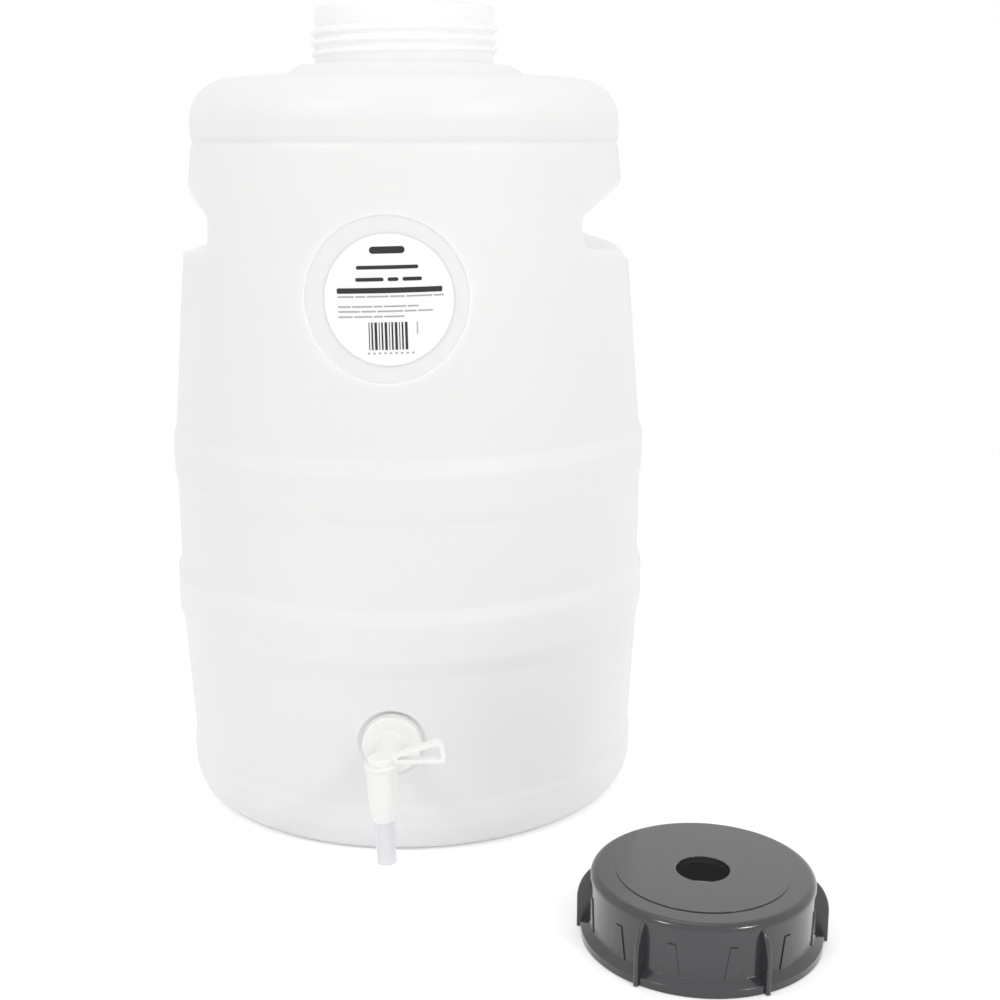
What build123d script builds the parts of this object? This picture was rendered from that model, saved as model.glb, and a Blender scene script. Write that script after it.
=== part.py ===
from build123d import *
import math
import os

# A 25 litre home brewing barrel, blown in natural polythene, with its screw cap taken off
# and laid on the floor beside it, and a white lever tap low on its front.
# Millimetres. The origin is on the barrel's axis at the floor, +Z is up, and the tap and
# the label face -Y. Radii are outside radii unless a name says bore.

# Barrel body: radii
barrel_r = 147.2            # wall between the two hoops
lower_hoop_rise = 2.4       # how far the lower hoop stands proud of barrel_r
upper_hoop_rise = 1.2       # how far the upper hoop stands proud of barrel_r
foot_inset = 4.2            # the wall just above the foot band, inside barrel_r
foot_band_rise = 1.1        # the foot band's bulge over the wall above it
bend_inset = 8.2            # the wall where its taper steepens, inside barrel_r
shoulder_inset = 17.0       # the top band of the wall, inside barrel_r

# Barrel body: heights above the floor, from the bottom up
base_rise = 6.0             # push-up of the base
dish_slope_w = 12.0         # width of the slope round the push-up
stand_ring_w = 20.0         # width of the ring that the barrel stands on
foot_toe_w = 6.0            # radial size of the rounded foot, before its corners are rounded
foot_toe_h = 12.0           # height of the same
foot_toe_round = 10.0
foot_side_round = 25.0
foot_band_h = 32.5          # top of the foot band
foot_band_fade_h = 4.5      # height over which its bulge fades out
lower_hoop_z = 110.0        # lower edge of the lower hoop
lower_hoop_h = 41.0
lower_hoop_ramp_h = 10.0    # sloping lower edge
lower_hoop_fade_h = 8.0     # sloping upper edge
upper_hoop_z = 199.0        # lower edge of the upper hoop
upper_hoop_h = 37.0
upper_hoop_ramp_h = 7.0
upper_hoop_fade_h = 9.0
hoop_top_inset = 1.2        # the wall over the upper hoop, inside barrel_r
hoop_foot_round = 1.5       # a hoop's corners, from its lower edge up
hoop_round = 9.0
hoop_fade_round = 7.5

# Barrel body: heights below the top of the shoulder
shoulder_h = 440.6          # top of the shoulder above the floor
shoulder_round = 25.0
crease_drop = 35.1          # shoulder top down to the shallow crease
crease_depth = 1.3
crease_half_h = 3.2
crease_round = 2.0
bend_drop = 119.6           # shoulder top down to the point where the taper steepens
bend_round = 900.0

# Collar and threaded neck
collar_slope_rise = 3.2     # the shoulder's fall from the collar to its rounded edge
collar_w = 21.0             # from the neck to the foot of the collar
collar_ramp_w = 10.0
collar_h = 6.0
collar_round = 3.0
collar_top_rise = 0.9       # the flat collar's rise from its edge to the neck
neck_root_round = 1.5
neck_r = 53.9
neck_wall = 3.1
neck_h = 33.3               # collar top to rim
rim_round = 1.2
thread_pitch = 6.1
thread_rise = 2.3           # crest over the neck's plain wall
thread_root_w = 5.2
thread_crest_w = 1.6
thread_turns = 2.7
thread_start_z = 5.0        # first turn above the collar, at the thread's middle
thread_start_deg = 150.0
thread_bury = 0.4           # how deep a thread's root is let into its wall

wall_t = 2.5                # blown wall
inside_sharp_deg = 30.0     # corners of the inside that turn less than this aren't rounded

# Hand grips: two notches run straight from front to back, one on each side
grip_depth = 23.2           # inner face of a grip, inside the top band of the wall
grip_face_drop = 76.6       # shoulder top down to the top edge of the inner face
grip_face_h = 17.0
grip_roof_rise = 17.0       # the sloping roof climbs this much over the grip's depth
grip_ledge_w = 15.0         # flat part of the ledge below the grip
grip_ledge_fall = 3.6
grip_ledge_round = 17.0
grip_inner_round = 5.0

# Round panel on the front for the label
panel_r = 45.0
panel_depth = 1.2
panel_round = 0.4           # both edges of the recess
panel_drop = 118.0          # shoulder top down to the panel's centre
label_r = 35.2
label_t = 0.2
label_gap = 0.2             # glue under the label
label_shift = 1.5           # the label is stuck this far right of the panel's centre

# Tap: flat seat on the wall, and the washers and nut that hold it
tap_z = 70.5
tap_lean = 2.0              # degrees; the tap is done up a little askew, its foot towards +X
seat_depth = 1.65           # flat seat, below the curved wall
seat_r = 20.0
shank_r = 11.8
shank_bore_r = 4.0
shank_clear = 0.5           # the wall's hole and the washers, round the shank
nut_clear = 0.1             # the back nut's bore, round the shank
shank_spare = 8.0           # how far the shank runs on past the nut
outer_washer_r = 17.6
outer_washer_t = 2.5
inner_washer_r = 16.8
inner_washer_t = 2.0
nut_flats = 33.0
nut_t = 8.0
nut_chamfer_h = 1.4
nut_land = 0.5              # the nut's turned end, inside its flats
nut_flange_r = 18.5
nut_flange_t = 2.2

# Tap: flange, neck and spout, which are one moulding
flange_r = 16.8
flange_t = 3.5
flange_round = 1.2
neck_tube_r = 7.2
neck_tube_flare = 3.0       # the neck's flare into the flange
spout_reach = 55.0          # from the seat to the spout's axis
spout_r = 8.4
spout_top = 8.3             # rim of the spout's body, above the shank's axis
spout_straight = 8.5        # the straight body ends this far below the shank's axis
spout_taper_h = 13.7
spout_foot_r = 5.7
nozzle_r = 4.0
nozzle_h = 11.0
nozzle_bore_r = 2.6
end_chamfer = 1.0           # on the ends of the shank and the nozzle
spout_edge_round = 0.5
spout_bend_round = 6.0
mark_r = 1.2               # round index marks on the spout and on the lever's hub
mark_proud = 0.6

# Tap: lever with its plug, one moulding that turns in the spout
plug_r = 5.6
plug_clear = 0.05           # running clearance of the plug, on the radius
plug_reach = 7.5            # plug below the shank's axis
plug_bore_r = 3.3
plug_port_r = 3.2           # side port, level with the shank's axis
plug_port_edge = 0.6        # from the port's upper edge to the hollow's end
hub_gap = 0.3               # between the hub and the spout's rim
skirt_r = 9.2
skirt_h = 2.4
hub_r = 7.2
hub_h = 3.6
hub_round = 1.4
lever_reach = 34.5
lever_tip_h = 13.6
lever_root_h = 3.0          # height of the handle over the plug's axis
lever_bar = 2.3
lever_depth = 5.0
lever_foot_round = 1.6      # lower corner of the handle's tip
lever_tip_round = 4.0       # upper corner
window_round = 0.6
skirt_round = 0.8

# Short clear tube pushed over the nozzle
tube_r = 5.35
tube_l = 24.5
tube_fit = 0.05             # the tube's bore over the nozzle, on the radius

# Screw cap, lying on the floor the right way up
cap_aside = 22.8            # the cap's axis, right of the barrel's side
cap_ahead = 79.8            # the cap's axis, in front of the barrel
cap_turn = -125.5           # degrees; direction of the first fin
cap_clear = 0.5             # between the cap's wall and the neck's thread crests
cap_wall = 2.0
cap_top_t = 3.0
cap_h = 36.0
cap_edge_round = 4.0
cap_disc_inset = 13.2       # from the cap's wall to the flat disc that stands proud of its top
cap_disc_t = 0.5
cap_hole_r = 14.0
cap_hole_round = 0.4
flange_out = 4.7            # the cap's foot flange, beyond its wall
flange_edge_h = 4.0
flange_edge_round = 0.7
flange_slope_h = 3.4
fin_count = 6
fin_out = 6.9               # a fin's foot, beyond the cap's wall
fin_t = 2.6
fin_round = 1.0
fin_straight_h = 16.4       # a fin's outer edge is upright to here, then curves in
fin_top_drop = 3.2          # cap top down to the top of a fin
pad_count = 12
pad_t = 0.6
pad_top_w = 3.8
pad_foot_w = 10.0
pad_h = 17.0
cap_thread_rise = 2.0
cap_thread_turns = 2.2
cap_thread_z = 9.0          # first turn above the floor
seal_t = 1.5
seal_w = 6.5
seal_clear = 0.3            # round the seal, to the cap's wall

# Worked out from the sizes above
shoulder_r = barrel_r - shoulder_inset
collar_r = neck_r + collar_w
collar_z = shoulder_h + collar_slope_rise
neck_z = collar_z + collar_h + collar_top_rise
rim_z = neck_z + neck_h
neck_bore_r = neck_r - neck_wall
lower_wall_slope = foot_inset / (lower_hoop_z - foot_band_h)
wall_r_at_tap = barrel_r - foot_inset + lower_wall_slope * (tap_z - foot_band_h)
seat_y = wall_r_at_tap - seat_depth
grip_x = shoulder_r - grip_depth
grip_face_top = shoulder_h - grip_face_drop
panel_z = shoulder_h - panel_drop
cap_in_r = neck_r + thread_rise + cap_clear
cap_r = cap_in_r + cap_wall
far = 2 * barrel_r          # clear of the whole barrel


def shifted(points, gaps):
    """Shift each run of an open path to its left by its own gap and meet the runs again."""
    runs = []
    for (x0, z0), (x1, z1), gap in zip(points, points[1:], gaps):
        length = math.hypot(x1 - x0, z1 - z0)
        ux, uz = (x1 - x0) / length, (z1 - z0) / length
        runs.append((x0 - uz * gap, z0 + ux * gap, ux, uz))
    moved = []
    for (ax, az, aux, auz), (bx, bz, bux, buz) in zip(runs, runs[1:]):
        cross = aux * buz - auz * bux
        along = ((bx - ax) * buz - (bz - az) * bux) / cross
        moved.append((ax + aux * along, az + auz * along))
    return moved


def turn_at(a, b, c):
    """Give the angle, in radians, by which a path turns left at b on its way from a to c."""
    ux, uz, vx, vz = b[0] - a[0], b[1] - a[1], c[0] - b[0], c[1] - b[1]
    return math.atan2(ux * vz - uz * vx, ux * vx + uz * vz)


def fitted_radii(points, radii):
    """Keep the roundings at both ends of each run of a closed outline within that run."""
    count = len(points)
    reach = []
    for i, radius in enumerate(radii):
        turn = turn_at(points[i - 1], points[i], points[(i + 1) % count])
        reach.append(radius * math.tan(abs(turn) / 2))
    fitted = list(radii)
    for i in range(count):
        j = (i + 1) % count
        room = 0.98 * math.dist(points[i], points[j])
        if reach[i] + reach[j] > room:
            share = room / (reach[i] + reach[j])
            fitted[i] = min(fitted[i], radii[i] * share)
            fitted[j] = min(fitted[j], radii[j] * share)
    return fitted


def rounded_face(points, radii):
    """Make an XZ face from a closed outline, each of its corners with its own radius."""
    outline = FilletPolyline(*points, radius=fitted_radii(points, radii), close=True)
    return make_face(Plane.XZ * outline)


def ring_tube(outer_r, inner_r, low, high):
    """Make an upright tube between two heights."""
    tube = extrude(Circle(outer_r) - Circle(inner_r), high - low)
    return Pos(0, 0, low) * tube


def along_y(shape):
    """Turn a shape built along +Z so that it runs along -Y, out of the barrel's front."""
    return Rot(90, 0, 0) * shape


def thread_ridge(radius, rise, pitch, turns, low, start_deg):
    """Sweep one helical ridge that stands off a wall by rise, inwards if it is negative."""
    path = Helix(pitch, pitch * turns, radius)
    side = math.copysign(1.0, rise)
    section_plane = Plane(origin=path @ 0, x_dir=(side, 0, 0), z_dir=path % 0)
    half_root, half_crest = thread_root_w / 2, thread_crest_w / 2
    section = section_plane * make_face(Polyline(
        (-thread_bury, -half_root), (abs(rise), -half_crest),
        (abs(rise), half_crest), (-thread_bury, half_root), close=True))
    ridge = sweep(section, path=path, is_frenet=True)
    return Pos(0, 0, low) * Rot(0, 0, start_deg) * ridge


# Outside of the barrel, from the axis at the base out and up to the rim: (radius, height,
# rounding of that corner)
foot_r = barrel_r - foot_inset
dish_r = foot_r + foot_band_rise - foot_toe_w - stand_ring_w
band_r = foot_r + foot_band_rise
lower_hoop_r = barrel_r + lower_hoop_rise
upper_hoop_r = barrel_r + upper_hoop_rise
crease_z = shoulder_h - crease_drop
outside = [
    (0.0, base_rise, None),
    (dish_r - dish_slope_w, base_rise, 8.0),
    (dish_r, 0.0, 6.0),
    (band_r - foot_toe_w, 0.0, foot_toe_round),
    (band_r, foot_toe_h, foot_side_round),
    (band_r, foot_band_h - foot_band_fade_h, 3.0),
    (foot_r, foot_band_h, 4.0),
    (barrel_r, lower_hoop_z, hoop_foot_round),
    (lower_hoop_r, lower_hoop_z + lower_hoop_ramp_h, hoop_round),
    (lower_hoop_r, lower_hoop_z + lower_hoop_h - lower_hoop_fade_h, hoop_round),
    (barrel_r, lower_hoop_z + lower_hoop_h, hoop_fade_round),
    (barrel_r, upper_hoop_z, hoop_foot_round),
    (upper_hoop_r, upper_hoop_z + upper_hoop_ramp_h, hoop_round),
    (upper_hoop_r, upper_hoop_z + upper_hoop_h - upper_hoop_fade_h, hoop_round),
    (barrel_r - hoop_top_inset, upper_hoop_z + upper_hoop_h, hoop_fade_round),
    (barrel_r - bend_inset, shoulder_h - bend_drop, bend_round),
    (shoulder_r, crease_z - crease_half_h, crease_round),
    (shoulder_r - crease_depth, crease_z, crease_round),
    (shoulder_r, crease_z + crease_half_h, crease_round),
    (shoulder_r, shoulder_h, shoulder_round),
    (collar_r, collar_z, collar_round),
    (collar_r - collar_ramp_w, collar_z + collar_h, collar_round),
    (neck_r, neck_z, neck_root_round),
    (neck_r, rim_z, None),
]


def barrel_outline(inset, inner):
    """Give the closed outline and corner radii of the outside, moved inwards by inset."""
    corners = [(r, z) for r, z, _ in outside]
    radii = [rounding for _, _, rounding in outside[1:-1]]
    if inset:
        neck_inset = neck_wall if inner else inset
        gaps = [inset] * (len(corners) - 2) + [neck_inset]
        moved = shifted(corners, gaps)
        for i in range(len(radii)):
            turn = turn_at(corners[i], corners[i + 1], corners[i + 2])
            radii[i] = max(radii[i] - inset, 0.4) if turn > 0 else radii[i] + inset
            if inner and abs(turn) < math.radians(inside_sharp_deg):
                radii[i] = 0.0
        top = rim_z + (wall_t if inner else 0.0)
        corners = [(0.0, base_rise + inset)] + moved + [(neck_r - neck_inset, top)]
    top = corners[-1][1]
    return corners + [(0.0, top)], [0.0] + radii + [0.0, 0.0]


def barrel_body(inset=0.0, inner=False):
    """Turn the barrel's outline, moved inwards by inset, into a solid."""
    points, radii = barrel_outline(inset, inner)
    return revolve(rounded_face(points, radii), Axis.Z)


def grip_notch(grow):
    """Make the notch of the +X hand grip, grown on every face by grow."""
    face_bottom = grip_face_top - grip_face_h
    ledge_x = grip_x + grip_ledge_w
    ledge_z = face_bottom - grip_ledge_fall
    roof_slope = grip_roof_rise / grip_depth
    path = [
        (far, ledge_z - grip_ledge_round),
        (ledge_x + grip_ledge_round, ledge_z - grip_ledge_round),
        (ledge_x + grip_ledge_round, ledge_z - grip_ledge_fall),
        (grip_x, face_bottom),
        (grip_x, grip_face_top),
        (far, grip_face_top + roof_slope * (far - grip_x)),
    ]
    radii = [0.0, grip_ledge_round - 0.5, grip_inner_round, grip_inner_round]
    if grow:
        ends = [(far, path[0][1] - grow), (far, path[-1][1] + grow * math.hypot(1, roof_slope))]
        path = [ends[0]] + shifted(path, [grow] * (len(path) - 1)) + [ends[1]]
        radii = [0.0, radii[1] - grow, grip_inner_round + grow, grip_inner_round + grow]
    face = rounded_face(path, [0.0] + radii + [0.0])
    return extrude(face, far, both=True)


def both_sides(shape):
    """Keep a shape and its mirror image on the barrel's other side."""
    return [shape, mirror(shape, Plane.YZ)]


def panel_recess(grow):
    """Make the shallow round recess for the label, its edge grown outwards by grow."""
    post = Pos(0, -barrel_r, panel_z) * along_y(Cylinder(panel_r + grow, barrel_r))
    return post - barrel_body(panel_depth + grow)


def on_panel_rim(edge):
    """Say whether an edge lies on the round wall of the label's recess."""
    ends = [edge @ 0, edge @ 0.5, edge @ 1]
    return all(p.Y < 0 and abs(math.hypot(p.X, p.Z - panel_z) - panel_r) < 0.05 for p in ends)


def barrel_shell():
    """Blown barrel: hollow wall with hoops, grips, label panel, tap seat and threaded neck."""
    outer = barrel_body() - panel_recess(0.0)
    outer = fillet(outer.edges().filter_by(on_panel_rim), panel_round)
    outer += thread_ridge(neck_r, thread_rise, thread_pitch, thread_turns,
                          neck_z + thread_start_z, thread_start_deg)
    hollow = barrel_body(wall_t, inner=True) - panel_recess(wall_t)
    for notch, grown in zip(both_sides(grip_notch(0.0)), both_sides(grip_notch(wall_t))):
        outer -= notch
        hollow -= grown
    seat_tool = Pos(0, 0, barrel_r / 2) * Cylinder(seat_r, barrel_r)
    pad_tool = Pos(0, 0, barrel_r / 2 - wall_t) * Cylinder(seat_r + wall_t, barrel_r)
    outer -= in_tap_place(along_y(seat_tool))
    hollow -= in_tap_place(along_y(pad_tool))
    hole = in_tap_place(along_y(Cylinder(shank_r + shank_clear, 6 * wall_t)))
    shell = outer - hollow - hole
    rim = [e for e in shell.edges() if (e @ 0).Z > rim_z - 0.01 and (e @ 0.5).Z > rim_z - 0.01]
    return fillet(rim, rim_round)


def front_label():
    """Round paper label, stuck on the floor of the recess."""
    post = Pos(label_shift, -barrel_r, panel_z) * along_y(Cylinder(label_r, barrel_r))
    back = panel_depth - label_gap
    return (post & barrel_body(back - label_t)) - barrel_body(back)


def in_tap_place(shape):
    """Set a tap piece, built with its seat at the origin, on the barrel at its lean."""
    return Pos(0, -seat_y, tap_z) * Rot(0, -tap_lean, 0) * shape


def in_spout_place(shape):
    """Set a piece built on the spout's axis, its origin level with the shank's axis."""
    return in_tap_place(Pos(0, -spout_reach, 0) * shape)


def tap_body():
    """Tap moulding: threaded shank, flange, neck and upright spout with its nozzle."""
    shank_in = wall_t + inner_washer_t + nut_t + shank_spare
    flange_face = outer_washer_t + flange_t
    bore_low = -spout_straight - spout_taper_h
    nozzle_low = bore_low - nozzle_h
    stem = revolve(rounded_face(
        [(0, -shank_in), (shank_r - end_chamfer, -shank_in), (shank_r, end_chamfer - shank_in),
         (shank_r, outer_washer_t), (flange_r, outer_washer_t), (flange_r, flange_face),
         (neck_tube_r, flange_face), (neck_tube_r, spout_reach), (0, spout_reach)],
        [0, 0, 0, 0, 0, flange_round, neck_tube_flare, 0, 0]), Axis.Z)
    spout = revolve(rounded_face(
        [(0, spout_top), (0, nozzle_low), (nozzle_r - end_chamfer / 2, nozzle_low),
         (nozzle_r, nozzle_low + end_chamfer), (nozzle_r, bore_low), (spout_foot_r, bore_low),
         (spout_r, -spout_straight), (spout_r, spout_top)],
        [0, 0, 0, 0, 0, spout_edge_round, spout_bend_round, spout_edge_round]), Axis.Z)
    mark = Pos(0, -spout_r + mark_r - mark_proud, 0) * Sphere(mark_r)
    seat_low = -plug_reach - hub_gap
    plug_bore = Pos(0, 0, (spout_top + seat_low) / 2) * Cylinder(
        plug_r + plug_clear, spout_top - seat_low)
    waterway = Pos(0, 0, (seat_low + bore_low) / 2) * Cylinder(plug_bore_r, seat_low - bore_low)
    nozzle_bore = Pos(0, 0, bore_low) * Cylinder(nozzle_bore_r, 3 * nozzle_h)
    stem_bore = Pos(0, 0, (spout_reach - shank_in) / 2) * Cylinder(
        shank_bore_r, spout_reach + shank_in)
    bores = Pos(0, -spout_reach, 0) * (plug_bore + waterway + nozzle_bore)
    body = along_y(stem) + Pos(0, -spout_reach, 0) * (spout + mark)
    return in_tap_place(body - along_y(stem_bore) - bores)


def tap_lever():
    """Lever moulding: hollow plug with a side port, hub and open three-sided handle."""
    skirt_low = spout_top + hub_gap
    loop_low = skirt_low + skirt_h
    hub_top = loop_low + hub_h
    plug = Pos(0, 0, (skirt_low - plug_reach) / 2) * Cylinder(plug_r, skirt_low + plug_reach)
    crown_low = plug_port_r + plug_port_edge
    hollow = Pos(0, 0, (crown_low - plug_reach) / 2) * Cylinder(
        plug_bore_r, crown_low + plug_reach)
    port = Rot(0, -90, 0) * Pos(0, 0, plug_r) * Cylinder(plug_port_r, 2 * plug_r)
    hub = revolve(rounded_face(
        [(0, skirt_low), (skirt_r, skirt_low), (skirt_r, loop_low), (hub_r, loop_low),
         (hub_r, hub_top), (0, hub_top)],
        [0, 0, skirt_round, 0, hub_round, 0]), Axis.Z)
    climb = (lever_tip_h - lever_root_h) / lever_reach
    tip = [(lever_reach, loop_low), (lever_reach, loop_low + lever_tip_h)]
    frame = rounded_face([(0, loop_low)] + tip + [(0, loop_low + lever_root_h)],
                         [0, lever_foot_round, lever_tip_round, 0])
    wedge = [(-lever_root_h / climb, loop_low)] + tip
    window = rounded_face(shifted(wedge + wedge[:2], [lever_bar] * 4),
                          [window_round, lever_tip_round - lever_bar, window_round])
    handle = extrude(frame - window, lever_depth / 2, both=True)
    mark = Pos(0, -skirt_r + mark_r - mark_proud, skirt_low + skirt_h / 2) * Sphere(mark_r)
    return in_spout_place(plug - hollow - port + hub + handle + mark)


def flat_washer(outer_r, thick, low):
    """Flat ring round the shank, from low outwards by thick."""
    return in_tap_place(along_y(ring_tube(outer_r, shank_r + shank_clear, low, low + thick)))


def tap_back_nut():
    """Hexagon nut with a round flange, done up on the shank inside the barrel."""
    face = -wall_t - inner_washer_t
    bore = shank_r + nut_clear
    corner_r = nut_flats / math.sqrt(3)
    hexagon = extrude(RegularPolygon(nut_flats / 2, 6, major_radius=False), nut_t)
    turned = revolve(make_face(Plane.XZ * Polyline(
        (0, 0), (nut_flats / 2 - nut_land, 0), (corner_r, nut_chamfer_h), (corner_r, nut_t),
        (0, nut_t), close=True)), Axis.Z)
    nut = Pos(0, 0, face - nut_t) * (hexagon & turned)
    nut += ring_tube(nut_flange_r, bore, face - nut_flange_t, face)
    return in_tap_place(along_y(nut - Pos(0, 0, face) * Cylinder(bore, 4 * nut_t)))


def outlet_tube():
    """Short clear tube, pushed over the nozzle up to the spout's shoulder."""
    top = -spout_straight - spout_taper_h
    return in_spout_place(ring_tube(tube_r, nozzle_r + tube_fit, top - tube_l, top))


def in_cap_place(shape):
    """Lay a piece built on the cap's axis on the floor beside the barrel."""
    place = Pos(barrel_r + cap_aside, -barrel_r - cap_ahead, 0)
    return place * Rot(0, 0, cap_turn) * shape


def cap_fin():
    """One finger grip of the cap: a thin plate with a rounded shoulder."""
    root_x = cap_r - cap_wall / 2
    tip_x = cap_r + fin_out
    top = cap_h - fin_top_drop
    outline = Polyline((root_x, top), (root_x, 0), (tip_x, 0), (tip_x, fin_straight_h))
    outline += TangentArc((tip_x, fin_straight_h), (cap_r, top), tangent=(0, 1))
    outline += Line((cap_r, top), (root_x, top))
    plate = extrude(make_face(Plane.XZ * outline), fin_t / 2, both=True)
    middles = [(e, e @ 0.5) for e in plate.edges()]
    rim = [e for e, p in middles if p.X > cap_r + 1 and p.Z > 0.1 and abs(p.Y) > fin_round]
    return fillet(rim, fin_round)


def cap_pad():
    """One raised three-sided pad on the cap's wall."""
    low = flange_edge_h
    high = flange_edge_h + flange_slope_h + pad_h
    face = make_face(Plane.YZ * Polyline(
        (-pad_foot_w / 2, low), (pad_foot_w / 2, low), (pad_top_w / 2, high),
        (-pad_top_w / 2, high), close=True))
    block = extrude(face, 2 * cap_r)
    return block & ring_tube(cap_r + pad_t, cap_r - cap_wall / 2, low, high)


def screw_cap():
    """Screw cap: skirt with fins, pads, foot flange and inner thread, and a holed top."""
    under = cap_h - cap_top_t
    flange_x = cap_r + flange_out
    slope_top = flange_edge_h + flange_slope_h
    cap_disc_r = cap_r - cap_disc_inset
    cap = revolve(rounded_face(
        [(cap_in_r, 0), (flange_x, 0), (flange_x, flange_edge_h), (cap_r, slope_top),
         (cap_r, cap_h), (cap_disc_r, cap_h), (cap_disc_r, cap_h + cap_disc_t),
         (cap_hole_r, cap_h + cap_disc_t), (cap_hole_r, under), (cap_in_r, under)],
        [0, 0, flange_edge_round, flange_edge_round, cap_edge_round, 0, cap_disc_t / 2,
         cap_hole_round, 0, 0]), Axis.Z)
    cap += thread_ridge(cap_in_r, -cap_thread_rise, thread_pitch, cap_thread_turns,
                        cap_thread_z, 0.0)
    fin, pad = cap_fin(), cap_pad()
    fins = [Rot(0, 0, i * 360 / fin_count) * fin for i in range(fin_count)]
    pads = [Rot(0, 0, (i + 0.5) * 360 / pad_count) * pad for i in range(pad_count)]
    return in_cap_place(cap + fins + pads)


def cap_seal():
    """Soft flat ring that closes the cap on the neck's rim."""
    outer_r = cap_in_r - seal_clear
    top = cap_h - cap_top_t
    return in_cap_place(ring_tube(outer_r, outer_r - seal_w, top - seal_t, top))


def save(node, shape):
    """Write one node's STEP file."""
    shape.label = node
    export_step(shape, os.path.join("parts", node + ".step"))


os.makedirs("parts", exist_ok=True)
save("barrel_shell", barrel_shell())
save("front_label", front_label())
save("tap_body", tap_body())
save("tap_lever", tap_lever())
save("tap_outer_washer", flat_washer(outer_washer_r, outer_washer_t, 0.0))
save("tap_inner_washer", flat_washer(inner_washer_r, inner_washer_t, -wall_t - inner_washer_t))
save("tap_back_nut", tap_back_nut())
save("outlet_tube", outlet_tube())
save("screw_cap", screw_cap())
save("cap_seal", cap_seal())
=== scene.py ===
import logging
import math
from collections.abc import Iterator
from contextlib import contextmanager
from dataclasses import dataclass
from enum import Enum

import bmesh
import bpy
from mathutils import Matrix, Vector


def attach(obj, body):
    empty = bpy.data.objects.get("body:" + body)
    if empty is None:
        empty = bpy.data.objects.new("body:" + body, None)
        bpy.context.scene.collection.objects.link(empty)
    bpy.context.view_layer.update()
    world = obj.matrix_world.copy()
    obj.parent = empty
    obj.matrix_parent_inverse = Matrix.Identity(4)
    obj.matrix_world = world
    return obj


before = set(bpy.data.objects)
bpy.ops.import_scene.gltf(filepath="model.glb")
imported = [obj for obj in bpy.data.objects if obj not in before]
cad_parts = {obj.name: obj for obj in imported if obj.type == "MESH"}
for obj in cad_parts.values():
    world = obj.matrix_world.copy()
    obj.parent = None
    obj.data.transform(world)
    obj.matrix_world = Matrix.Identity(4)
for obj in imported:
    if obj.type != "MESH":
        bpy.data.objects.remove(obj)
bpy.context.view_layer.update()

log = logging.getLogger("brewing_barrel")

Point = tuple[float, float, float]
Material = bpy.types.Material
Socket = bpy.types.NodeSocket
Tree = bpy.types.NodeTree

MM = 0.001
QUARTER_TURN = math.pi / 2
WHITE_HEX = "#FFFFFF"
WHITE_STRENGTH = 1.0        # light of this strength renders as plain white

# Sockets of a Mix node that mixes colours, by number because others have the same names
MIX_SHARE, MIX_FIRST, MIX_SECOND = 0, 6, 7
MIX_RESULT = 2


class Detail(Enum):
    """How broken up a pattern is: the layers of finer noise on top of it."""

    PLAIN = 0.0
    SOFT = 1.0
    FINE = 2.0
    UNEVEN = 3.0
    RAGGED = 4.0


def linear(hex_colour: str) -> tuple[float, float, float, float]:
    """Turn an sRGB hex colour into a linear colour with full alpha.

    Args:
        hex_colour: Colour as #RRGGBB.

    Returns:
        Red, green, blue and alpha, linear.
    """
    parts = [int(hex_colour[i:i + 2], 16) / 255 for i in (1, 3, 5)]
    red, green, blue = (
        p / 12.92 if p <= 0.04045 else ((p + 0.055) / 1.055) ** 2.4 for p in parts)
    return red, green, blue, 1.0


def scale_for(feature_mm: float) -> float:
    """Give the texture scale at which one cycle of a pattern is feature_mm wide."""
    return 1.0 / (feature_mm * MM)


def add_node(tree: Tree, kind: str, settings: dict[str, object] | None = None,
             inputs: dict[str | int, object] | None = None) -> bpy.types.Node:
    """Add one node, with its settings, values and links.

    Args:
        tree: Node tree that the node goes into.
        kind: The node's type name.
        settings: Properties of the node itself.
        inputs: A value or a feeding socket for each named or numbered input.

    Returns:
        The new node.
    """
    node = tree.nodes.new(kind)
    for name, value in (settings or {}).items():
        setattr(node, name, value)
    for key, value in (inputs or {}).items():
        if isinstance(value, Socket):
            tree.links.new(value, node.inputs[key])
        else:
            node.inputs[key].default_value = value
    return node


def select_only(*objects: bpy.types.Object) -> None:
    """Select these objects and nothing else, the first of them active.

    Args:
        objects: What to select.
    """
    bpy.ops.object.select_all(action="DESELECT")
    for item in objects:
        item.select_set(True)
    bpy.context.view_layer.objects.active = objects[0]


@contextmanager
def editing(piece: bpy.types.Object) -> Iterator[bmesh.types.BMesh]:
    """Open one piece in edit mode, with nothing in it selected.

    Args:
        piece: Mesh object to shape.

    Returns:
        Its edit mesh, for picking faces, edges and points.
    """
    select_only(piece)
    bpy.ops.object.mode_set(mode="EDIT")
    bpy.ops.mesh.select_all(action="DESELECT")
    try:
        yield bmesh.from_edit_mesh(piece.data)
    finally:
        bpy.ops.object.mode_set(mode="OBJECT")


def settle(piece: bpy.types.Object) -> None:
    """Move a piece's place, turn and size into its mesh."""
    select_only(piece)
    bpy.ops.object.transform_apply(location=True, rotation=True, scale=True)


def apply_modifier(piece: bpy.types.Object, kind: str, **settings: object) -> None:
    """Add one modifier to a piece and apply it.

    Args:
        piece: Mesh object.
        kind: The modifier's type name.
        settings: Properties of the modifier.
    """
    select_only(piece)
    modifier = piece.modifiers.new(kind.lower(), kind)
    for name, value in settings.items():
        setattr(modifier, name, value)
    bpy.ops.object.modifier_apply(modifier=modifier.name)


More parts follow.
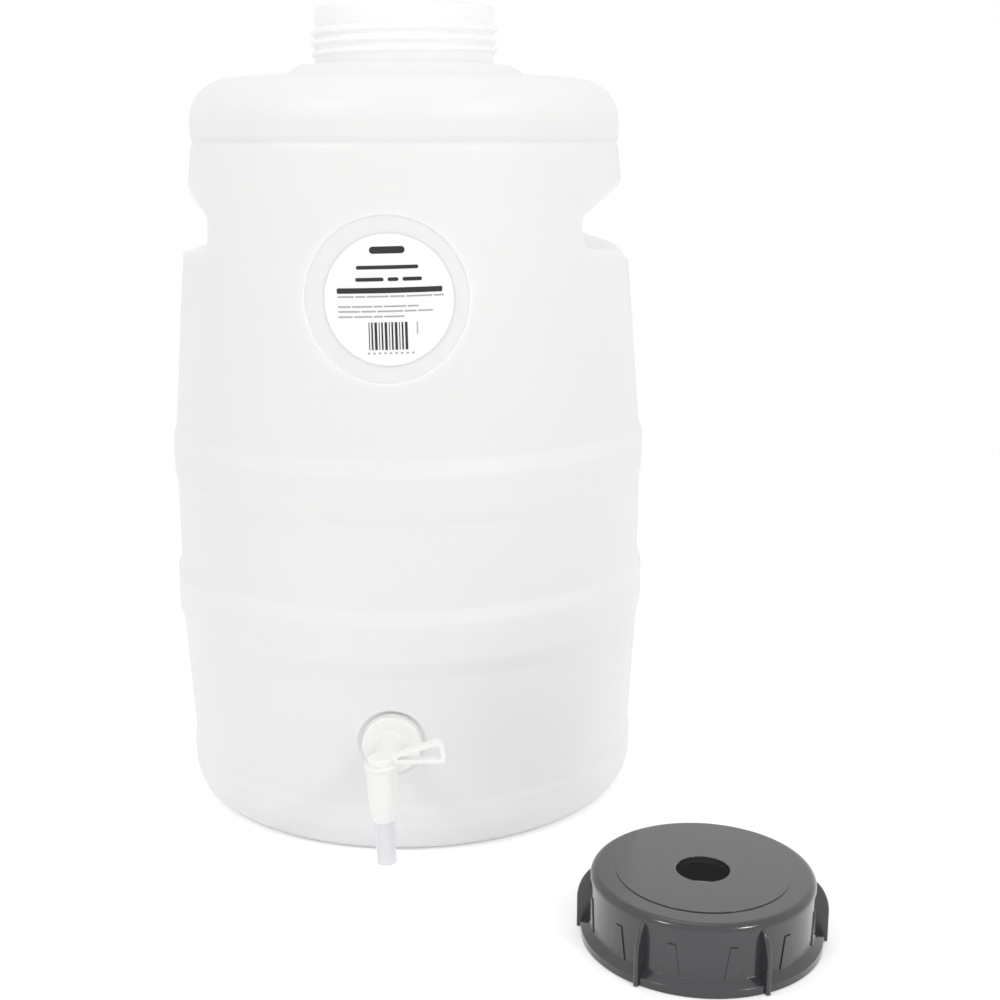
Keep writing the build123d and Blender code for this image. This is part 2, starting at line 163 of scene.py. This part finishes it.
class Finish:
    """What every finish has: a name, a gloss, and patterns that feed one surface shader."""

    name: str
    roughness: float
    roughness_spread: float
    ior: float

    def build(self) -> Material:
        """Make the material.

        Returns:
            The material, its surface shader fed by the finish.
        """
        material = bpy.data.materials.new(self.name)
        material.use_nodes = True
        tree = material.node_tree
        tree.nodes.clear()
        place = add_node(tree, "ShaderNodeTexCoord").outputs["Object"]
        shader = add_node(tree, "ShaderNodeBsdfPrincipled", inputs={
            "IOR": self.ior, **self.surface(tree, place)})
        add_node(tree, "ShaderNodeOutputMaterial", inputs={"Surface": shader.outputs[0]})
        return material

    def surface(self, tree: Tree, place: Socket) -> dict[str, object]:
        """Add the patterns of the finish, which each finish does in its own way.

        Args:
            tree: The material's node tree.
            place: Object coordinates.

        Returns:
            A value or a feeding socket for each input of the surface shader.
        """
        raise NotImplementedError

    def uneven_gloss(self, tree: Tree, pattern: Socket) -> Socket:
        """Let the roughness drift to both sides of its middle, as a pattern does.

        Args:
            tree: The material's node tree.
            pattern: What it follows, from 0 to 1.

        Returns:
            The roughness.
        """
        return add_node(tree, "ShaderNodeMapRange", inputs={
            "Value": pattern,
            "To Min": self.roughness - self.roughness_spread,
            "To Max": self.roughness + self.roughness_spread}).outputs[0]

    def relief(self, tree: Tree, *layers: tuple[Socket, float]) -> Socket:
        """Lay patterns over one another as a shallow relief.

        Args:
            tree: The material's node tree.
            layers: Each pattern with its depth in millimetres, the coarse one first.

        Returns:
            The normal of the surface.
        """
        below: dict[str, Socket] = {}
        for pattern, depth_mm in layers:
            bump = add_node(tree, "ShaderNodeBump", inputs={
                "Strength": 1.0, "Distance": depth_mm * MM, "Height": pattern, **below})
            below = {"Normal": bump.outputs[0]}
        return below["Normal"]


@dataclass(frozen=True)
class BlownPolythene(Finish):
    """Natural high-density polythene, extrusion blow moulded.

    Milky and waxy: light goes into the thin wall and comes out soft, so shadows are pale. Its
    colour goes a little darker and bluer towards the bottom. The surface is satin, with the faint
    waviness of a blown parison and the fine grain of a sand-blasted mould.
    """

    name: str = "natural_hdpe_blow_moulded"
    upper_hex: str = "#FBFBFA"
    lower_hex: str = "#F6F6FA"
    lower_z: float = 0.02           # below this height, in metres, the tint is the lower one
    upper_z: float = 0.20
    mottle_mm: float = 60.0         # uneven wall thickness
    mottle_hex: str = "#F5F5F6"
    mottle_start: float = 0.35      # where in its noise the mottle starts and is at its fullest
    mottle_full: float = 0.75
    mottle_share: float = 0.5
    wave_mm: float = 14.0           # waviness left by the parison
    wave_depth_mm: float = 0.05
    grain_mm: float = 1.6           # real mould grain is about 0.2 mm, too fine to show here
    grain_depth_mm: float = 0.006
    roughness: float = 0.42
    roughness_spread: float = 0.06
    ior: float = 1.54
    scatter: float = 0.7
    scatter_depth_mm: float = 6.0
    scatter_colour: Point = (1.0, 1.0, 1.05)

    def surface(self, tree: Tree, place: Socket) -> dict[str, object]:
        """Tint the wall by its height, and mottle, wave and grain it.

        Args:
            tree: The material's node tree.
            place: Object coordinates.

        Returns:
            A value or a feeding socket for each input of the surface shader.
        """
        height = add_node(tree, "ShaderNodeSeparateXYZ", inputs={0: place}).outputs["Z"]
        upward = add_node(tree, "ShaderNodeMapRange", {"interpolation_type": "SMOOTHSTEP"}, {
            "Value": height, "From Min": self.lower_z, "From Max": self.upper_z})
        tint = add_node(tree, "ShaderNodeMix", {"data_type": "RGBA"}, {
            MIX_SHARE: upward.outputs[0],
            MIX_FIRST: linear(self.lower_hex), MIX_SECOND: linear(self.upper_hex)})
        mottle = add_node(tree, "ShaderNodeTexNoise", inputs={
            "Vector": place, "Scale": scale_for(self.mottle_mm),
            "Detail": Detail.UNEVEN.value})
        thick = add_node(tree, "ShaderNodeMapRange", inputs={
            "Value": mottle.outputs[0], "From Min": self.mottle_start,
            "From Max": self.mottle_full, "To Max": self.mottle_share})
        colour = add_node(tree, "ShaderNodeMix", {"data_type": "RGBA"}, {
            MIX_SHARE: thick.outputs[0],
            MIX_FIRST: tint.outputs[MIX_RESULT], MIX_SECOND: linear(self.mottle_hex)})
        waves = add_node(tree, "ShaderNodeTexNoise", inputs={
            "Vector": place, "Scale": scale_for(self.wave_mm), "Detail": Detail.SOFT.value})
        grain = add_node(tree, "ShaderNodeTexNoise", inputs={
            "Vector": place, "Scale": scale_for(self.grain_mm), "Detail": Detail.FINE.value})
        return {
            "Base Color": colour.outputs[MIX_RESULT],
            "Roughness": self.uneven_gloss(tree, mottle.outputs[0]),
            "Normal": self.relief(tree, (waves.outputs[0], self.wave_depth_mm),
                                  (grain.outputs[0], self.grain_depth_mm)),
            "Subsurface Weight": self.scatter,
            "Subsurface Radius": self.scatter_colour,
            "Subsurface Scale": self.scatter_depth_mm * MM,
        }


@dataclass(frozen=True)
class MouldedPlastic(Finish):
    """Solid coloured plastic, injection moulded.

    Smooth and even, with a soft gloss that is broken by faint flow lines and a fine sink
    waviness, and a colour that drifts slightly along the flow.
    """

    name: str
    base_hex: str
    drift_hex: str
    roughness: float
    ior: float
    drift_mm: float = 18.0
    flow_mm: float = 5.0            # spacing of the flow lines
    flow_stretch: float = 0.25      # below 1 the flow lines run upwards
    flow_depth_mm: float = 0.006
    grain_mm: float = 1.0           # real polish marks are finer, drawn as coarse as shows
    grain_depth_mm: float = 0.0015
    roughness_spread: float = 0.04
    scatter: float = 0.0
    scatter_depth_mm: float = 1.5
    scatter_colour: Point = (1.0, 0.95, 0.85)
    coat: float = 0.0               # polished skin of the mould's bright side
    coat_roughness: float = 0.08

    def surface(self, tree: Tree, place: Socket) -> dict[str, object]:
        """Drift the colour, and lay flow lines and polish marks on the skin.

        Args:
            tree: The material's node tree.
            place: Object coordinates.

        Returns:
            A value or a feeding socket for each input of the surface shader.
        """
        drift = add_node(tree, "ShaderNodeTexNoise", inputs={
            "Vector": place, "Scale": scale_for(self.drift_mm), "Detail": Detail.FINE.value})
        colour = add_node(tree, "ShaderNodeMix", {"data_type": "RGBA"}, {
            MIX_SHARE: drift.outputs[0],
            MIX_FIRST: linear(self.base_hex), MIX_SECOND: linear(self.drift_hex)})
        along = add_node(tree, "ShaderNodeMapping", inputs={
            "Vector": place, "Scale": (1.0, 1.0, self.flow_stretch)})
        flow = add_node(tree, "ShaderNodeTexNoise", inputs={
            "Vector": along.outputs[0], "Scale": scale_for(self.flow_mm),
            "Detail": Detail.SOFT.value})
        grain = add_node(tree, "ShaderNodeTexNoise", inputs={
            "Vector": place, "Scale": scale_for(self.grain_mm), "Detail": Detail.FINE.value})
        return {
            "Base Color": colour.outputs[MIX_RESULT],
            "Roughness": self.uneven_gloss(tree, drift.outputs[0]),
            "Normal": self.relief(tree, (flow.outputs[0], self.flow_depth_mm),
                                  (grain.outputs[0], self.grain_depth_mm)),
            "Subsurface Weight": self.scatter,
            "Subsurface Radius": self.scatter_colour,
            "Subsurface Scale": self.scatter_depth_mm * MM,
            "Coat Weight": self.coat,
            "Coat Roughness": self.coat_roughness,
        }


@dataclass(frozen=True)
class ExtrudedTube(Finish):
    """Clear plasticised PVC, extruded.

    Looks wet and slightly blue, cloudier than glass, with fine die lines along its length.
    """

    name: str = "clear_pvc_extruded"
    base_hex: str = "#F7F7FB"
    cloud_hex: str = "#F1F1F7"
    cloud_mm: float = 6.0
    line_mm: float = 1.2            # from one die line to the next, round the tube
    line_stretch: float = 0.04      # below 1 the die lines run along the tube
    line_depth_mm: float = 0.01
    roughness: float = 0.22
    roughness_spread: float = 0.05
    ior: float = 1.53
    clearness: float = 0.22

    def surface(self, tree: Tree, place: Socket) -> dict[str, object]:
        """Cloud the tube and draw its die lines.

        Args:
            tree: The material's node tree.
            place: Object coordinates.

        Returns:
            A value or a feeding socket for each input of the surface shader.
        """
        cloud = add_node(tree, "ShaderNodeTexNoise", inputs={
            "Vector": place, "Scale": scale_for(self.cloud_mm), "Detail": Detail.FINE.value})
        colour = add_node(tree, "ShaderNodeMix", {"data_type": "RGBA"}, {
            MIX_SHARE: cloud.outputs[0],
            MIX_FIRST: linear(self.base_hex), MIX_SECOND: linear(self.cloud_hex)})
        along = add_node(tree, "ShaderNodeMapping", inputs={
            "Vector": place, "Scale": (1.0, 1.0, self.line_stretch)})
        lines = add_node(tree, "ShaderNodeTexNoise", inputs={
            "Vector": along.outputs[0], "Scale": scale_for(self.line_mm),
            "Detail": Detail.PLAIN.value})
        return {
            "Base Color": colour.outputs[MIX_RESULT],
            "Roughness": self.uneven_gloss(tree, cloud.outputs[0]),
            "Normal": self.relief(tree, (lines.outputs[0], self.line_depth_mm)),
            "Transmission Weight": self.clearness,
        }


@dataclass(frozen=True)
class MouldedRubber(Finish):
    """Soft rubber, compression moulded and dusted with talc.

    Dull and slightly chalky, with a fine pitted skin.
    """

    name: str
    base_hex: str
    dust_hex: str
    dust_mm: float = 3.0
    pit_mm: float = 0.9
    pit_depth_mm: float = 0.03
    roughness: float = 0.72
    roughness_spread: float = 0.08
    ior: float = 1.52

    def surface(self, tree: Tree, place: Socket) -> dict[str, object]:
        """Dust the rubber and pit its skin.

        Args:
            tree: The material's node tree.
            place: Object coordinates.

        Returns:
            A value or a feeding socket for each input of the surface shader.
        """
        dust = add_node(tree, "ShaderNodeTexNoise", inputs={
            "Vector": place, "Scale": scale_for(self.dust_mm),
            "Detail": Detail.RAGGED.value})
        colour = add_node(tree, "ShaderNodeMix", {"data_type": "RGBA"}, {
            MIX_SHARE: dust.outputs[0],
            MIX_FIRST: linear(self.base_hex), MIX_SECOND: linear(self.dust_hex)})
        pits = add_node(tree, "ShaderNodeTexVoronoi", inputs={
            "Vector": place, "Scale": scale_for(self.pit_mm)})
        return {
            "Base Color": colour.outputs[MIX_RESULT],
            "Roughness": self.uneven_gloss(tree, dust.outputs[0]),
            "Normal": self.relief(tree, (pits.outputs[0], self.pit_depth_mm)),
        }


@dataclass(frozen=True)
class CoatedPaper(Finish):
    """White label paper, clay coated and calendered.

    Bright and smooth with a weak sheen, and the slight cloudiness of its fibres.
    """

    name: str = "label_paper_coated"
    base_hex: str = "#F9F9F8"
    fibre_hex: str = "#F3F3F2"
    cloud_mm: float = 5.0
    fibre_mm: float = 0.8           # fibres are finer, drawn as coarse as shows
    fibre_depth_mm: float = 0.004
    roughness: float = 0.48
    roughness_spread: float = 0.05
    ior: float = 1.5

    def surface(self, tree: Tree, place: Socket) -> dict[str, object]:
        """Cloud the paper and felt its skin with fibres.

        Args:
            tree: The material's node tree.
            place: Object coordinates.

        Returns:
            A value or a feeding socket for each input of the surface shader.
        """
        cloud = add_node(tree, "ShaderNodeTexNoise", inputs={
            "Vector": place, "Scale": scale_for(self.cloud_mm),
            "Detail": Detail.RAGGED.value})
        colour = add_node(tree, "ShaderNodeMix", {"data_type": "RGBA"}, {
            MIX_SHARE: cloud.outputs[0],
            MIX_FIRST: linear(self.base_hex), MIX_SECOND: linear(self.fibre_hex)})
        fibre = add_node(tree, "ShaderNodeTexNoise", inputs={
            "Vector": place, "Scale": scale_for(self.fibre_mm), "Detail": Detail.FINE.value})
        return {
            "Base Color": colour.outputs[MIX_RESULT],
            "Roughness": self.uneven_gloss(tree, fibre.outputs[0]),
            "Normal": self.relief(tree, (fibre.outputs[0], self.fibre_depth_mm)),
        }


@dataclass(frozen=True)
class PrintingInk(Finish):
    """Offset printing ink.

    A thin film with a weak gloss, a little uneven where the paper takes less of it.
    """

    name: str
    base_hex: str
    thin_hex: str
    speckle_mm: float = 0.9
    roughness: float = 0.45
    roughness_spread: float = 0.08
    ior: float = 1.5

    def surface(self, tree: Tree, place: Socket) -> dict[str, object]:
        """Speckle the film where it is thin.

        Args:
            tree: The material's node tree.
            place: Object coordinates.

        Returns:
            A value or a feeding socket for each input of the surface shader.
        """
        speckle = add_node(tree, "ShaderNodeTexNoise", inputs={
            "Vector": place, "Scale": scale_for(self.speckle_mm),
            "Detail": Detail.UNEVEN.value})
        colour = add_node(tree, "ShaderNodeMix", {"data_type": "RGBA"}, {
            MIX_SHARE: speckle.outputs[0],
            MIX_FIRST: linear(self.base_hex), MIX_SECOND: linear(self.thin_hex)})
        return {
            "Base Color": colour.outputs[MIX_RESULT],
            "Roughness": self.uneven_gloss(tree, speckle.outputs[0]),
        }


def dress(finish: Finish, *names: str) -> list[bpy.types.Object]:
    """Give nodes of the frame one finish, in each of their material slots.

    Args:
        finish: What the pieces are made of.
        names: Names of the nodes.

    Returns:
        The dressed pieces.
    """
    material = finish.build()
    pieces = [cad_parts[name] for name in names]
    for piece in pieces:
        for slot in piece.material_slots:
            slot.material = material
    return pieces


@dataclass
class BarrelShell:
    """Blown barrel with its hoops, grips, panel and threaded neck."""

    wall: BlownPolythene = BlownPolythene()

    def build(self) -> list[bpy.types.Object]:
        """Dress the blown shell."""
        return dress(self.wall, "barrel_shell")


@dataclass(frozen=True)
class PrintRow:
    """One row of printed bars on the label, in millimetres from the label's centre."""

    low: float
    high: float
    left: float
    bars: tuple[float, ...]         # lengths, from left to right
    gap: float = 0.7
    corner: float = 0.3

    def spans(self) -> Iterator[tuple[float, float]]:
        """Go along the row.

        Returns:
            The left and the right end of each bar.
        """
        left = self.left
        for length in self.bars:
            yield left, left + length
            left += length + self.gap


@dataclass(frozen=True)
class Printing:
    """All that the label has in one ink, which makes one piece."""

    piece: str
    ink: PrintingInk
    rows: tuple[PrintRow, ...]


@dataclass
class FrontLabel:
    """Round paper label with plain bars where its printing is. Sizes are in millimetres."""

    centre_x: float = 1.5
    centre_z: float = 322.6
    turn_deg: float = 1.5           # the label is stuck on a little turned
    start_y: float = -160.0         # bars are made here and then laid on the label
    step: float = 2.0               # a bar has points about this far apart, to bend at
    corner_steps: int = 3
    ink_t: float = 0.08
    paper: CoatedPaper = CoatedPaper()
    black: Printing = Printing(
        "label_print_black", PrintingInk("black_ink_printed", "#1B1A1B", "#2A292A"), (
            PrintRow(24.6, 28.4, -9.6, (19.2,), corner=1.8),
            PrintRow(16.4, 18.4, -17.0, (33.6,), corner=0.9),
            PrintRow(10.0, 12.0, -17.6, (15.4, 5.8, 10.4), gap=2.2, corner=0.9),
            PrintRow(3.7, 6.6, -28.0, (57.0,), corner=0.7),
            PrintRow(-26.6, -11.8, -11.2, (0.5, 0.9, 1.4) * 4, gap=0.9, corner=0.0)))
    grey: Printing = Printing(
        "label_print_grey", PrintingInk("grey_ink_printed", "#A3A2A5", "#B4B3B6"), (
            PrintRow(1.5, 2.4, -27.6, (9.0, 5.5, 12.0, 8.0, 14.0, 5.5)),
            PrintRow(-3.8, -2.9, -27.6, (7.0, 11.0, 5.0, 12.0, 6.0)),
            PrintRow(-6.4, -5.5, -27.6, (12.0, 8.0, 14.0, 6.5, 8.0)),
            PrintRow(-9.2, -8.3, -27.6, (8.0, 10.0, 5.0, 11.0)),
            PrintRow(-18.4, -11.8, 14.8, (0.7,), corner=0.0),
            PrintRow(-28.9, -27.9, -12.2, (1.4,) * 9, gap=1.6)))

    def printed_bar(self, left: float, right: float, row: PrintRow) -> bpy.types.Object:
        """Make one flat bar in front of the label.

        Args:
            left: Left end, from the label's centre.
            right: Right end.
            row: The row that gives its height and its corners.

        Returns:
            The bar, its place in its mesh.
        """
        wide, tall = right - left, row.high - row.low
        turn = math.radians(self.turn_deg)
        bpy.ops.mesh.primitive_grid_add(
            x_subdivisions=max(1, round(wide / self.step)),
            y_subdivisions=max(1, round(tall / self.step)), size=1.0)
        bar = bpy.context.object
        bar.scale = (wide * MM, tall * MM, 1.0)
        settle(bar)
        if row.corner:
            with editing(bar) as mesh:
                for point in mesh.verts:
                    point.select = len(point.link_faces) == 1
                mesh.select_flush_mode()
                bpy.ops.mesh.bevel(offset=row.corner * MM, segments=self.corner_steps,
                                   affect="VERTICES", clamp_overlap=True)
        middle = Matrix.Rotation(turn, 2) @ Vector(((left + right) / 2, (row.low + row.high) / 2))
        place = Vector((self.centre_x + middle.x, self.start_y, self.centre_z + middle.y)) * MM
        bar.matrix_world = (Matrix.Translation(place) @ Matrix.Rotation(-turn, 4, "Y")
                            @ Matrix.Rotation(QUARTER_TURN, 4, "X"))
        settle(bar)
        return bar

    def print_on(self, printing: Printing) -> bpy.types.Object:
        """Lay the bars of one ink on the label as a thin film.

        Args:
            printing: The piece's name, its ink and its rows of bars.

        Returns:
            The finished piece.
        """
        bars = [self.printed_bar(left, right, row)
                for row in printing.rows for left, right in row.spans()]
        select_only(*bars)
        bpy.ops.object.join()
        film = bars[0]
        film.name = film.data.name = printing.piece
        apply_modifier(film, "SHRINKWRAP", target=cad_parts["front_label"],
                       wrap_method="PROJECT", use_project_y=True,
                       use_positive_direction=True, use_negative_direction=False)
        apply_modifier(film, "SOLIDIFY", thickness=self.ink_t * MM, offset=1.0)
        film.data.materials.append(printing.ink.build())
        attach(film, "barrel")
        return film

    def build(self) -> list[bpy.types.Object]:
        """Dress the paper and lay the print on it.

        Returns:
            The paper and its two films of ink.
        """
        return [*dress(self.paper, "front_label"),
                self.print_on(self.black), self.print_on(self.grey)]


@dataclass
class Tap:
    """Lever tap: body, lever, washers, nut and outlet tube."""

    plastic: MouldedPlastic = MouldedPlastic(
        "white_polypropylene_injection_moulded", "#F3F2F0", "#F0EFEC", roughness=0.30,
        ior=1.49, scatter=0.25)
    rubber: MouldedRubber = MouldedRubber(
        "white_rubber_compression_moulded", "#E6E5E0", "#F0EFEC")
    tube: ExtrudedTube = ExtrudedTube()

    def build(self) -> list[bpy.types.Object]:
        """Dress the tap's pieces.

        Returns:
            The dressed pieces.
        """
        return [*dress(self.plastic, "tap_body", "tap_lever", "tap_back_nut"),
                *dress(self.rubber, "tap_outer_washer", "tap_inner_washer"),
                *dress(self.tube, "outlet_tube")]


@dataclass
class ScrewCap:
    """Screw cap with its seal, lying on the floor."""

    plastic: MouldedPlastic = MouldedPlastic(
        "charcoal_polypropylene_injection_moulded", "#2C2A2F", "#302E33", roughness=0.18,
        ior=1.5, drift_mm=45.0, flow_mm=8.0, flow_depth_mm=0.01, roughness_spread=0.03,
        coat=0.7, coat_roughness=0.1)
    rubber: MouldedRubber = MouldedRubber("grey_foam_seal_moulded", "#D6D6D3", "#DEDEDB")

    def build(self) -> list[bpy.types.Object]:
        """Dress the cap and its seal."""
        return [*dress(self.plastic, "screw_cap"), *dress(self.rubber, "cap_seal")]


@dataclass(frozen=True)
class Softbox:
    """One square studio lamp. Its place, its aim and its side are in metres."""

    name: str
    place: Point
    aim: Point
    side: float
    watts: float

    def build(self) -> None:
        """Hang the lamp and aim it."""
        bpy.ops.object.light_add(type="AREA", location=self.place)
        lamp = bpy.context.object
        lamp.name = self.name
        lamp.data.shape = "SQUARE"
        lamp.data.size = self.side
        lamp.data.energy = self.watts
        lamp.visible_camera = False
        toward = Vector(self.aim) - Vector(self.place)
        lamp.rotation_euler = toward.to_track_quat("-Z", "Y").to_euler()


@dataclass
class Studio:
    """Pale floor, white surroundings, soft lamps and the camera. Sizes are in metres."""

    floor_size: float = 16.0
    floor_drop: float = 0.0004      # the floor lies this far below the base
    floor_hex: str = "#F8F8F8"
    floor_lift: float = 0.25        # added only where it is seen, so that the floor looks white
    fade_start: float = 0.55        # from here the floor fades into the white surroundings
    fade_end: float = 1.3
    ambient_low: float = 1.0        # strength of the light that comes from the sides
    ambient_high: float = 0.74      # strength of the light from straight above
    lamps: tuple[Softbox, ...] = (
        Softbox("key_softbox", (-1.1, -1.35, 1.5), (0.0, 0.0, 0.2), side=0.34, watts=4.8),
        Softbox("fill_softbox", (1.25, -1.45, 1.25), (0.05, 0.0, 0.2), side=0.34, watts=6.6),
        Softbox("top_softbox", (-0.1, 0.15, 1.9), (0.0, 0.0, 0.2), side=0.9, watts=1.5),
    )
    camera_place: Point = (0.0835, -0.9461, 0.406)
    camera_pitch_deg: float = 76.53
    camera_turn_deg: float = 1.55
    lens_mm: float = 54.0
    sensor_mm: float = 36.0

    def seen(self, tree: Tree) -> Socket:
        """Tell what is looked at, straight, in a gloss or through a clear piece.

        Args:
            tree: Node tree of the floor or the surroundings.

        Returns:
            A socket that is 1 for such a ray and 0 for light that falls on the object.
        """
        path = add_node(tree, "ShaderNodeLightPath")
        gloss = add_node(tree, "ShaderNodeMath", {"operation": "MAXIMUM"}, {
            0: path.outputs["Is Camera Ray"], 1: path.outputs["Is Glossy Ray"]})
        return add_node(tree, "ShaderNodeMath", {"operation": "MAXIMUM"}, {
            0: gloss.outputs[0], 1: path.outputs["Is Transmission Ray"]}).outputs[0]

    def floor_card(self) -> Material:
        """Make the pale floor's material, which keeps the object's shadow and fades to white.

        Returns:
            The material.
        """
        material = bpy.data.materials.new("studio_floor_card")
        material.use_nodes = True
        tree = material.node_tree
        tree.nodes.clear()
        seen = self.seen(tree)
        place = add_node(tree, "ShaderNodeTexCoord").outputs["Object"]
        away = add_node(tree, "ShaderNodeVectorMath", {"operation": "LENGTH"}, {0: place})
        fade = add_node(tree, "ShaderNodeMapRange", {"interpolation_type": "SMOOTHSTEP"}, {
            "Value": away.outputs["Value"], "From Min": self.fade_start,
            "From Max": self.fade_end})
        fading = add_node(tree, "ShaderNodeMath", {"operation": "MULTIPLY"}, {
            0: fade.outputs[0], 1: seen})
        card = add_node(tree, "ShaderNodeBsdfDiffuse", inputs={"Color": linear(self.floor_hex)})
        lift = add_node(tree, "ShaderNodeMath", {"operation": "MULTIPLY"}, {
            0: seen, 1: self.floor_lift})
        glow = add_node(tree, "ShaderNodeEmission", inputs={"Strength": lift.outputs[0]})
        near = add_node(tree, "ShaderNodeAddShader", inputs={
            0: card.outputs[0], 1: glow.outputs[0]})
        white = add_node(tree, "ShaderNodeEmission", inputs={"Strength": WHITE_STRENGTH})
        both = add_node(tree, "ShaderNodeMixShader", inputs={
            0: fading.outputs[0], 1: near.outputs[0], 2: white.outputs[0]})
        add_node(tree, "ShaderNodeOutputMaterial", inputs={"Surface": both.outputs[0]})
        return material

    def floor(self) -> None:
        """Lay the floor."""
        bpy.ops.object.select_all(action="DESELECT")
        bpy.ops.mesh.primitive_plane_add(size=self.floor_size,
                                         location=(0.0, 0.0, -self.floor_drop))
        floor = bpy.context.object
        floor.name = "studio_floor"
        floor.data.materials.append(self.floor_card())

    def surroundings(self) -> None:
        """Make the white surroundings, at a plain level for the light that they give."""
        world = bpy.data.worlds.new("studio_surroundings")
        bpy.context.scene.world = world
        world.use_nodes = True
        tree = world.node_tree
        tree.nodes.clear()
        way = add_node(tree, "ShaderNodeTexCoord").outputs["Generated"]
        rise = add_node(tree, "ShaderNodeSeparateXYZ", inputs={0: way}).outputs["Z"]
        ambient = add_node(tree, "ShaderNodeMapRange", inputs={
            "Value": rise, "To Min": self.ambient_low, "To Max": self.ambient_high})
        level = add_node(tree, "ShaderNodeMapRange", inputs={
            "Value": self.seen(tree), "To Min": ambient.outputs[0], "To Max": WHITE_STRENGTH})
        sky = add_node(tree, "ShaderNodeBackground", inputs={
            "Color": linear(WHITE_HEX), "Strength": level.outputs[0]})
        add_node(tree, "ShaderNodeOutputWorld", inputs={"Surface": sky.outputs[0]})

    def camera(self) -> None:
        """Stand the camera where the photograph was taken from."""
        turn = (math.radians(self.camera_pitch_deg), 0.0, math.radians(self.camera_turn_deg))
        bpy.ops.object.camera_add(location=self.camera_place, rotation=turn)
        camera = bpy.context.object
        camera.data.lens = self.lens_mm
        camera.data.sensor_width = self.sensor_mm
        bpy.context.scene.camera = camera

    def build(self) -> None:
        """Set up the studio."""
        bpy.context.scene.view_settings.view_transform = "Standard"
        self.floor()
        self.surroundings()
        for lamp in self.lamps:
            lamp.build()
        self.camera()


def main() -> None:
    """Build and dress every sub-assembly, then the studio."""
    logging.basicConfig(level=logging.INFO, format="%(name)s: %(message)s")
    for assembly in (BarrelShell(), FrontLabel(), Tap(), ScrewCap()):
        for piece in assembly.build():
            log.info("%s: %d faces in %s", piece.name, len(piece.data.polygons),
                     piece.active_material.name)
    Studio().build()
    log.info("studio set up")


if __name__ == "__main__":
    main()
